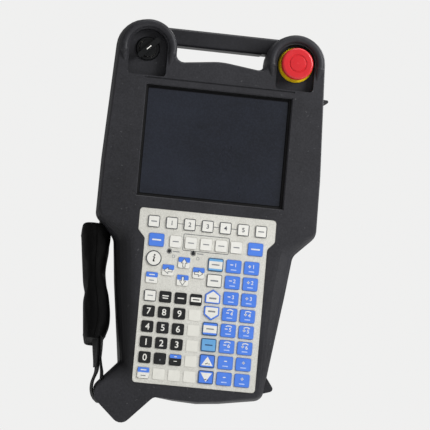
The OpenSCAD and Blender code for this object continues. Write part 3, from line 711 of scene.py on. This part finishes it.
def jog_key_marks():
    """A sign, the axis number on six of the eight, an arc on the turning axes, and a dash below."""
    for i in range(1, 9):
        numbered = i <= 6
        turning = 3 < i <= 6
        sign_x = -2.0 if numbered else 0
        for sign in ("minus", "plus"):
            node = "jog_%s_%d" % (sign, i)
            key = only(node)
            shapes = [moved(rectangle(2.6, 0.8, 0.2), sign_x, 1.4)]
            if sign == "plus":
                shapes.append(moved(rectangle(0.8, 2.6, 0.2), sign_x, 1.4))
            if numbered:
                digit_y = 0.9 if turning else 1.4
                shapes += [moved(shape, 1.6, digit_y) for shape in digit_shapes(str(i), JOG_DIGIT)]
            if turning:
                shapes += arc(4.6, 52, 128, 0.8, 0.2, -0.2)
            mark(node, white_ink, shapes, key)
            mark(node, key_pale, [dash(5.2, 0.9, y=-3.1)], key)


def pointed(w, h, direction):
    """Outline of the white field on a key cap with a point at its top, or at its foot for -1."""
    side, foot = w / 2 - 1.0, direction * (h / 2 - 1.0)
    shoulder, tip = direction * (h * 0.16 - 0.5), direction * (h * 0.56 - 1.2)
    return [(-side, -foot), (-side, shoulder), (0, tip), (side, shoulder), (side, -foot)]


def motion_key_marks():
    """The column of eight keys, all with the cap size of the first."""
    w, h = cap(only("step_key"))
    for node, band in (("step_key", key_sky), ("coord_key", key_blue)):
        key = only(node)
        bands = [rectangle(w - 1.2, 2.0, 0.3, y=h / 2 - 1.6), rectangle(w - 1.2, 1.6, 0.3, y=-h / 2 + 1.4)]
        mark(node, white_ink, [rectangle(w - 0.05, h - 0.05, 1.1)], key)
        mark(node, band, bands, key, 1)
        mark(node, ink_navy, frame_of(w, h, 0.6), key, 2)
        mark(node, ink_grey, [dash(7.0, 1.1)], key, 1)
    key = only("hold_key")
    mark("hold_key", ink_dark, frame_of(w, h, 0.5), key)
    mark("hold_key", ink_grey, [dash(7.0, 1.3)], key)
    key = only("group_key")
    mark("group_key", ink_navy, frame_of(w, h, 0.6), key)
    mark("group_key", ink_navy, [dash(7.0, 1.1)], key)
    for node, direction in (("forward_key", 1), ("backward_key", -1)):
        # the box takes in the point, so the field's middle is a little towards the flat end
        middle = spot_of(*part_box(node)).y - direction * (KEY_TIP * h - h / 2) / 2
        spot = only(node)._replace(y=middle)
        mark(node, white_ink, [pointed(w, h, direction)], spot)
        mark(node, ink_grey, [rectangle(6.6, 1.5, 0.4, y=-direction * 1.2)], spot, 1)
    for node, direction in (("speed_up_key", 1), ("speed_down_key", -1)):
        key = only(node)
        triangle = [(-5.2, -4.0 * direction), (5.2, -4.0 * direction), (0.0, 4.2 * direction)]
        mark(node, ink_navy, frame_of(w, h, 0.55), key, 2)
        mark(node, white_ink, [triangle], key)
        mark(node, ink_black, [stroke((-1.6, -2.6), (0.6, -1.6), 0.7), disc(0.5, 1.8, -2.4, 12)], key, 1)


# Places on the overlay of the lamps' rings, of the words beside them and of the signs below them
LAMPS = ((-32.7, -99), (-10.9, -99))
LAMP_WORDS = ((-26.5, -99), (-4.6, -99))
LAMP_SIGNS = ((-28.6, -103.4), (-6.4, -103.4))
# Width, height and corner radius of a blank field
BLANK_FIELD = (10.5, 9.8, 1.1)
# The frame round the three middle menu keys: how far its ends lie from the middles of the outer two of
# these keys, and its height
MENU_FRAME_SIDE = 7.2
MENU_FRAME_HEIGHT = 15.4
# Width, height and corner radius of the display's black border on the glass, outside and inside
BORDER_OUTSIDE = (140, 106, 1.0)
BORDER_INSIDE = (128.4, 95.6, 1.0)


def overlay_marks(soft, menu, numbers, lowest_row):
    """Lines between the soft keys, the menu frame, the lamps' marks and the blank fields."""
    field_front = only("keypad_overlay").depth
    foil = field_front + FIELD_RAISED
    for a, b in zip(soft[1:-2], soft[2:-1]):
        start, end = a.x + cap(a)[0] / 2 + 0.4, b.x - cap(b)[0] / 2 - 0.4
        mark("housing", ink_dark, [rectangle(end - start, 0.5)], Spot((start + end) / 2, a.y, foil))
    left, right = menu[1].x - MENU_FRAME_SIDE, menu[3].x + MENU_FRAME_SIDE
    middle = Spot((left + right) / 2, menu[0].y + 0.4, foil)
    mark("housing", ink_dark, frame_of(right - left, MENU_FRAME_HEIGHT, 0.5), middle)
    for x, y in LAMP_WORDS:
        mark("housing", ink_grey, [rectangle(6.0, 0.8)], Spot(x, y, foil))
    for x, y in LAMPS:
        mark("housing", ink_dark, ring(disc(2.5, steps=24), disc(2.1, steps=24)), Spot(x, y, foil))
    column, top = numbers[0].x, numbers[0].y
    pitch = (numbers[3].x - column) / 3
    blanks = [(column + 3 * pitch, top - row * pitch) for row in (1, 2, 3, 4)]
    blanks += [(column + step * pitch, lowest_row) for step in (1, 2, 3)]
    for x, y in blanks:
        mark("housing", field, [rectangle(*BLANK_FIELD)], Spot(x, y, field_front))
    for x, y in LAMP_SIGNS:
        mark("housing", ink_grey, ring(disc(1.5, steps=20), disc(1.1, steps=20)), Spot(x, y, foil))


def display_border():
    """A black band round the display, on the glass."""
    border = ring(rectangle(*BORDER_OUTSIDE), rectangle(*BORDER_INSIDE))
    mark("housing", ink_black, border, Spot(0, -0.5, GLASS_DEPTH), 1)


soft_keys, menu_keys = islands("soft_keys"), islands("menu_keys")
number_keys, help_keys = islands("number_keys"), islands("help_keys")
soft_key_marks(soft_keys)
menu_key_marks(menu_keys)
cursor_key_marks()
number_key_marks(number_keys)
help_key_marks(*help_keys)
for node in ("shift_key_left", "shift_key_right"):
    mark(node, white_ink, [rectangle(8.2, 1.3, 0.4)], only(node))
jog_key_marks()
motion_key_marks()
overlay_marks(soft_keys, menu_keys, number_keys, help_keys[-1].y)
display_border()
for printed in Print.made.values():
    printed.build()


# ---- White index on the selector's bar ----

def selector_mark():
    """A short stroke at 45 degrees on the middle of the knob."""
    spot = spot_of(*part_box("selector_knob"))
    reach = 2.6 * math.cos(math.radians(45))
    bm = bmesh.new()
    outline = moved(stroke((-reach, -reach), (reach, reach), 0.9), spot.x, spot.y)
    add_prism(bm, outline, spot.depth - 0.06, spot.depth + 0.3)
    made = new_piece("selector_mark", bm, white_ink, "selector")


selector_mark()

# ---- Hand strap: flat webbing ----

WEBBING_WIDTH = 20.0
WEBBING_THICK = 1.5
# The webbing thins to half over this distance from its edge
SELVEDGE = 1.2
WEBBING_STEPS = 20
# Waves of the frayed end's threads, in radians per mm across
FRAY_WAVES = 3.7

# Routes of (x, y, depth, turn in degrees): round the wing at the foot, from the sleeve up into the
# housing, and the free end beside the wrap
WRAP = [
    (-88.4, -183, 18, -11), (-87.9, -192, 17, -10), (-87.1, -205, 15, -5), (-87.1, -212.5, 13.8, -2),
    (-88.9, -217.6, 13.5, 0), (-90.2, -221.5, 13.5, 0), (-90.6, -225.5, 13.5, 0), (-90.4, -229.5, 13.5, 0),
    (-89.2, -233.6, 13.5, 0), (-87.3, -236.7, 13.5, 0), (-85.2, -238.6, 13.5, 0), (-83.4, -239.9, 13.5, 0),
    (-82.3, -239.6, 13.5, 0), (-82.2, -237, 13.5, 0), (-82.2, -214, 13.5, 0), (-83.0, -209.5, 14, -2),
    (-84.2, -203, 15, -4), (-84.6, -192, 17, -12), (-84.9, -180, 18, -12),
]
RISE = [
    (-97.2, -84, 30, 4), (-96.2, -81.2, 30, 0), (-95.4, -79.8, 30, 0), (-94.2, -78.2, 30, 0),
    (-93.4, -76, 30, 0), (-93.4, -57, 30, 0),
]
TAIL = [(-90.0, -183, 18, -11), (-89.5, -192, 17, -10), (-88.7, -203, 15.2, -5), (-88.6, -208.6, 14.8, -3)]


def smooth(points, times=2):
    """Chaikin corner cutting with fixed ends."""
    for _ in range(times):
        out = [points[0]]
        for a, b in zip(points, points[1:]):
            out.append(tuple(p * 0.75 + q * 0.25 for p, q in zip(a, b)))
            out.append(tuple(p * 0.25 + q * 0.75 for p, q in zip(a, b)))
        out.append(points[-1])
        points = out
    return points


def webbing_section(width, thickness):
    """Closed section of (across, thick) points, with thin selvedges."""
    half = width / 2
    section = []
    for i in range(WEBBING_STEPS + 1):
        t = -half + width * i / WEBBING_STEPS
        worn = max(0.0, abs(t) - half + SELVEDGE) / SELVEDGE
        section.append((t, thickness / 2 * (1 - 0.5 * worn)))
    return section + [(t, -h) for t, h in section[::-1]]


def strap(name, route, width=WEBBING_WIDTH, thickness=WEBBING_THICK, ragged=0.0):
    """A woven band along a route; ragged is how far the threads of its last end stand out."""
    route = smooth(route)
    section = webbing_section(width, thickness)
    rings = []
    for i, (x, y, depth, turn) in enumerate(route):
        before, after = route[max(i - 1, 0)], route[min(i + 1, len(route) - 1)]
        along = Vector((after[0] - before[0], after[1] - before[1])).normalized()
        side = Vector((-along.y, along.x))
        c, s = math.cos(math.radians(turn)), math.sin(math.radians(turn))
        last = i == len(route) - 1
        points = []
        for t, h in section:
            out = t * s + h * c
            slip = ragged * math.sin(FRAY_WAVES * t) if last else 0.0
            points.append(face(x + side.x * out, y + side.y * out + slip, depth + t * c - h * s))
        rings.append(points)
    bm = bmesh.new()
    add_tube(bm, rings)
    made = new_piece(name, bm, webbing, "housing", smooth=True)
    return made


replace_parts(strap("strap_webbing_wrap", WRAP), "strap_belt")
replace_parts(strap("strap_webbing_top", RISE), "strap_belt")
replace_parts(strap("strap_webbing_tail", TAIL, 19.0, 1.3, 0.35), "strap_belt")

# ---- Hand strap: padded sleeve ----

# Outline of the sleeve seen from the front, as (height, x) from the top down
SLEEVE_LEFT = [(-79, -110.6), (-130, -103.9), (-187, -98.6), (-189, -98.6)]
SLEEVE_RIGHT = [
    (-79, -86.2), (-84, -84.2), (-95, -83.5), (-107, -84.6), (-120, -86.4), (-128, -85.7), (-145, -80.8),
    (-161, -77.9), (-175, -78.3), (-181, -82.4), (-189, -82.7),
]
# Heights over which each side's outline is averaged, so that it has no corners
SLEEVE_LEFT_SOFT = (-8, -4, 0, 4, 8)
SLEEVE_RIGHT_SOFT = (-5, -2.5, 0, 2.5, 5)
SLEEVE_TOP = -81.4
SLEEVE_LENGTH = 104.0
SLEEVE_STEPS = 44
SLEEVE_POINTS = 64
# How deep the sleeve's middle line lies behind the face, and half of the sleeve's own depth
SLEEVE_DEPTH = 33
SLEEVE_HALF_DEPTH = 24.6
# Turn of the section about the sleeve's length, in degrees
SLEEVE_TURN = 4
# Rise of the rings for each millimetre towards the front
SLEEVE_TILT = 0.1
# Powers of cosine and sine that make the section a rounded oblong
SLEEVE_SQUARE = (0.6, 0.55)
# The front falls back towards the right: by how much over a whole width, and from how far off the
# left side on
SLEEVE_HOLLOW = 9.0
SLEEVE_HOLLOW_FROM = 12.5
# The turned-in lips at the top and at the foot, as (height, how much further in on every side)
SLEEVE_LIP = [(-85.5, 2.8), (-81.5, 2.4), (-81.1, 0.6)]
SLEEVE_FOOT_LIP = [(-185.7, 0.6), (-185.3, 2.4), (-181.5, 2.8)]
# Rows at each end that the cloth simulation holds still
HELD_ROWS = 5
CLOTH_FRAMES = 20
# The furthest that the cloth may move a point, in mm
PUFF_CAP = 0.9


def along_list(points, at):
    """Value at a height in a falling list of (height, value), by straight steps."""
    for (y0, v0), (y1, v1) in zip(points, points[1:]):
        if at >= y1:
            return v0 + (v1 - v0) * (y0 - at) / (y0 - y1)
    return points[-1][1]


def softened(points, at, offsets):
    return sum(along_list(points, at + d) for d in offsets) / len(offsets)


def sleeve_ring(y, shrink):
    """Points of the flattened tube at one height, turned and tilted with the strap."""
    left = softened(SLEEVE_LEFT, y, SLEEVE_LEFT_SOFT)
    right = softened(SLEEVE_RIGHT, y, SLEEVE_RIGHT_SOFT)
    half, half_depth = (right - left) / 2 - shrink, SLEEVE_HALF_DEPTH - shrink
    out = []
    for k in range(SLEEVE_POINTS):
        c, s = math.cos(2 * math.pi * k / SLEEVE_POINTS), math.sin(2 * math.pi * k / SLEEVE_POINTS)
        x = half * math.copysign(abs(c) ** SLEEVE_SQUARE[0], c) + (left + right) / 2
        d = half_depth * math.copysign(abs(s) ** SLEEVE_SQUARE[1], s)
        if s < 0:
            d += SLEEVE_HOLLOW * max(0.0, (x - left - SLEEVE_HOLLOW_FROM) / (right - left))
        slant = d * math.sin(math.radians(SLEEVE_TURN))
        out.append(face(x + slant, y - SLEEVE_TILT * d, SLEEVE_DEPTH + d))
    return out


def evaluated_points(piece):
    """Where the piece's modifiers put its vertices."""
    graph = bpy.context.evaluated_depsgraph_get()
    return [v.co.copy() for v in piece.evaluated_get(graph).data.vertices]


def puff(piece, held):
    """Swells the piece by a short cloth simulation that holds some points, then smooths all of it."""
    rest = [v.co.copy() for v in piece.data.vertices]
    piece.vertex_groups.new(name="held").add(held, 1.0, "REPLACE")
    cloth = piece.modifiers.new("cloth", "CLOTH")
    cloth.settings.vertex_group_mass = "held"
    cloth.settings.use_pressure = True
    cloth.settings.uniform_pressure_force = 3.0
    cloth.settings.effector_weights.gravity = 0.0
    cloth.settings.shrink_min = -0.02
    cloth.settings.quality = 6
    cloth.settings.bending_stiffness = 0.2
    cloth.point_cache.frame_start = 1
    cloth.point_cache.frame_end = CLOTH_FRAMES
    for number in range(1, CLOTH_FRAMES + 1):
        scene.frame_set(number)
    puffed = evaluated_points(piece)
    piece.modifiers.remove(cloth)
    scene.frame_set(1)
    most = PUFF_CAP * MM
    for v, old, new in zip(piece.data.vertices, rest, puffed):
        step = new - old
        if step.length > most:
            step *= most / step.length
        v.co = old + step
    calm = piece.modifiers.new("calm", "SMOOTH")
    calm.factor = 0.5
    calm.iterations = 4
    calmed = evaluated_points(piece)
    piece.modifiers.remove(calm)
    for v, new in zip(piece.data.vertices, calmed):
        v.co = new


def padded_sleeve():
    """Padded tube round the strap; returns its front and back seam lines and its two hem lines."""
    levels = [(SLEEVE_TOP - SLEEVE_LENGTH * i / SLEEVE_STEPS, 0.0) for i in range(SLEEVE_STEPS + 1)]
    levels = SLEEVE_LIP + levels + SLEEVE_FOOT_LIP
    bm = bmesh.new()
    rings = add_skin(bm, [sleeve_ring(y, shrink) for y, shrink in levels])
    # the cloth's folds depend on the order of the corners in these two ends
    bm.faces.new(rings[0])
    bm.faces.new(rings[-1][::-1])
    made = new_piece("strap_padding", bm, fabric, "housing", smooth=True)
    total, end = len(made.data.vertices), HELD_ROWS * SLEEVE_POINTS
    puff(made, list(range(end)) + list(range(total - end, total)))

    def point(row, k):
        return made.data.vertices[row * SLEEVE_POINTS + k].co.copy()

    first = len(SLEEVE_LIP)
    front, back = SLEEVE_POINTS * 3 // 4, SLEEVE_POINTS // 4
    seams = [[point(row, k) for row in range(first, first + SLEEVE_STEPS + 1)] for k in (front, back)]
    hems = [[point(row, k) for k in range(SLEEVE_POINTS)] for row in (first + 3, SLEEVE_STEPS)]
    finer = made.modifiers.new("finer", "SUBSURF")
    finer.levels = 1
    finer.render_levels = 1
    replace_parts(made, "strap_sleeve")
    return seams, hems


def around(middle, along, reference, radius, sides):
    """A ring of points round a line; reference is any direction that the line doesn't run along."""
    side = along.cross(reference).normalized()
    up = along.cross(side)
    turns = [2 * math.pi * k / sides for k in range(sides)]
    return [middle + radius * (side * math.cos(a) + up * math.sin(a)) for a in turns]


def piping(name, points, radius=0.55, sides=8):
    """A thin round cord of the sleeve's fabric along a seam; its radius is in mm."""
    rings = []
    for i, p in enumerate(points):
        along = (points[min(i + 1, len(points) - 1)] - points[max(i - 1, 0)]).normalized()
        rings.append(around(p, along, Vector((0.3, 1.0, 0.2)), radius * MM, sides))
    bm = bmesh.new()
    add_tube(bm, rings)
    made = new_piece(name, bm, fabric, "housing", smooth=True)


def stitches(name, line, stitch=2.4, gap=1.4, radius=0.32):
    """Small raised dashes along a closed line of points; their sizes are in mm."""
    points = line + [line[0]]
    lengths = [0.0]
    for a, b in zip(points, points[1:]):
        lengths.append(lengths[-1] + (b - a).length)

    def place(at):
        for i in range(len(points) - 1):
            if lengths[i + 1] >= at:
                step = max(lengths[i + 1] - lengths[i], 1e-9)
                return points[i].lerp(points[i + 1], (at - lengths[i]) / step)
        return points[-1]

    bm = bmesh.new()
    at = 0.0
    while at + stitch * MM < lengths[-1]:
        a, b = place(at), place(at + stitch * MM)
        along = (b - a).normalized()
        rings = []
        for share, plump in ((0.0, 0.35), (0.25, 1.0), (0.75, 1.0), (1.0, 0.35)):
            rings.append(around(a.lerp(b, share), along, Vector((0, 0, 1)), radius * plump * MM, 6))
        add_tube(bm, rings)
        at += (stitch + gap) * MM
    made = new_piece(name, bm, webbing, "housing", smooth=True)


seam_lines, hem_lines = padded_sleeve()
for number, seam in enumerate(seam_lines):
    piping("strap_seam_%d" % number, seam)
for number, hem in enumerate(hem_lines):
    stitches("strap_hem_%d" % number, hem)

# ---- Floor, world, lights, camera ----

FLOOR_SIZE = 12
FLOOR_Z = -0.75
# What the floor gives off by itself, and what it adds for the camera alone, so that it shows pale
FLOOR_GLOW = 0.2
FLOOR_GLOW_SEEN = 0.34
BACKDROP = (0.87, 0.87, 0.865, 1)
WORLD_LIGHT = 0.33
LIGHTS_AIM = Vector((0, 0, -0.16))


def make_floor():
    bpy.ops.mesh.primitive_plane_add(size=FLOOR_SIZE, location=(0, 0, FLOOR_Z))
    floor = bpy.context.object
    floor.name = "floor"
    s = Surface("floor", Roughness=0.9, Emission_Color=(1, 1, 1, 1))
    s.colour(s.mix(s.noise(3, 3), tone("#e9e9e8"), tone("#efefee")))
    seen = s.math("MULTIPLY", s.node("LightPath").outputs["Is Camera Ray"], FLOOR_GLOW_SEEN)
    s.link(s.math("ADD", seen, FLOOR_GLOW), s.shader.inputs["Emission Strength"])
    floor.data.materials.append(s.material)


def make_world():
    """Soft even light, and a pale backdrop that only the camera sees, also through glass."""
    world = bpy.data.worlds.new("world")
    scene.world = world
    world.use_nodes = True
    nodes, links = world.node_tree.nodes, world.node_tree.links
    nodes.clear()
    path = nodes.new("ShaderNodeLightPath")
    seen = nodes.new("ShaderNodeBackground")
    seen.inputs["Color"].default_value = BACKDROP
    seen.inputs["Strength"].default_value = 1.0
    light = nodes.new("ShaderNodeBackground")
    light.inputs["Color"].default_value = (1, 1, 1, 1)
    light.inputs["Strength"].default_value = WORLD_LIGHT
    either = nodes.new("ShaderNodeMath")
    either.operation = "MAXIMUM"
    links.new(path.outputs["Is Camera Ray"], either.inputs[0])
    links.new(path.outputs["Is Transmission Ray"], either.inputs[1])
    blend = nodes.new("ShaderNodeMixShader")
    links.new(either.outputs[0], blend.inputs[0])
    links.new(light.outputs[0], blend.inputs[1])
    links.new(seen.outputs[0], blend.inputs[2])
    output = nodes.new("ShaderNodeOutputWorld")
    links.new(blend.outputs[0], output.inputs["Surface"])


def area_light(name, place, size, power):
    """A soft lamp that faces the object."""
    data = bpy.data.lights.new(name, "AREA")
    data.shape = "RECTANGLE"
    data.size, data.size_y = size
    data.energy = power
    made = bpy.data.objects.new(name, data)
    made.location = place
    made.rotation_mode = "QUATERNION"
    made.rotation_quaternion = (LIGHTS_AIM - Vector(place)).to_track_quat("-Z", "Y")
    scene.collection.objects.link(made)


def make_camera(azimuth, elevation, roll, distance, aim, lens):
    """A camera that looks at aim; angles in degrees, distances in metres and lens in millimetres."""
    made = bpy.data.objects.new("camera", bpy.data.cameras.new("camera"))
    scene.collection.objects.link(made)
    scene.camera = made
    a, e = math.radians(azimuth), math.radians(elevation)
    towards = Vector((-math.sin(a) * math.cos(e), -math.cos(a) * math.cos(e), -math.sin(e)))
    upright = (-towards).to_track_quat("-Z", "Y")
    made.location = aim + towards * distance
    made.rotation_mode = "QUATERNION"
    made.rotation_quaternion = upright @ Matrix.Rotation(math.radians(roll), 4, "Z").to_quaternion()
    made.data.sensor_width = 36
    made.data.lens = lens
    made.data.clip_start, made.data.clip_end = 0.1, 50


make_floor()
make_world()
area_light("key_light", (0.92, -0.72, 0.38), size=(0.6, 0.6), power=13.4)
area_light("top_light", (0.3, -0.35, 1.8), size=(1.2, 0.9), power=15.5)
area_light("back_light", (0.9, 1.3, 0.6), size=(1.0, 1.0), power=8)
make_camera(
    azimuth=7.94, elevation=5.59, roll=5.04, distance=3.0, aim=Vector((0.0057, -0.035, -0.1539)),
    lens=277.83,
)
scene.view_settings.view_transform = "Standard"
